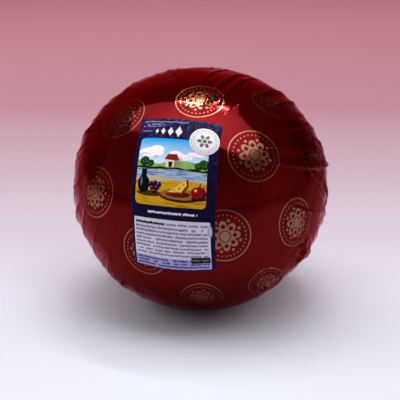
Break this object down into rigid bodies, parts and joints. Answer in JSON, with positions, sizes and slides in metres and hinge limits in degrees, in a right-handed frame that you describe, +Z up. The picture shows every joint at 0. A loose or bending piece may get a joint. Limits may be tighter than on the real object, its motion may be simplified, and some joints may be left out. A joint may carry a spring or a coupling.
{
  "type": "film-wrapped ball of cheese",
  "caption": "Slightly flattened ball of semi-hard cheese in a glossy red film, pleated to a gather at the lower back, with an upright label on its front.",
  "frame": {"origin": "on the plane of the flat spot that it rests on, under the middle of the whole part", "axes": "+Z up; the label faces -Y and a little up; +X to the right of someone facing the label"},
  "size_m": [0.1486, 0.15, 0.1362],
  "materials": {
    "red_film": "gloss",
    "printed_label": "satin"
  },
  "bodies": {
    "root": {"wrapped_cheese": "red_film", "label": "printed_label"}
  },
  "joints": []
}
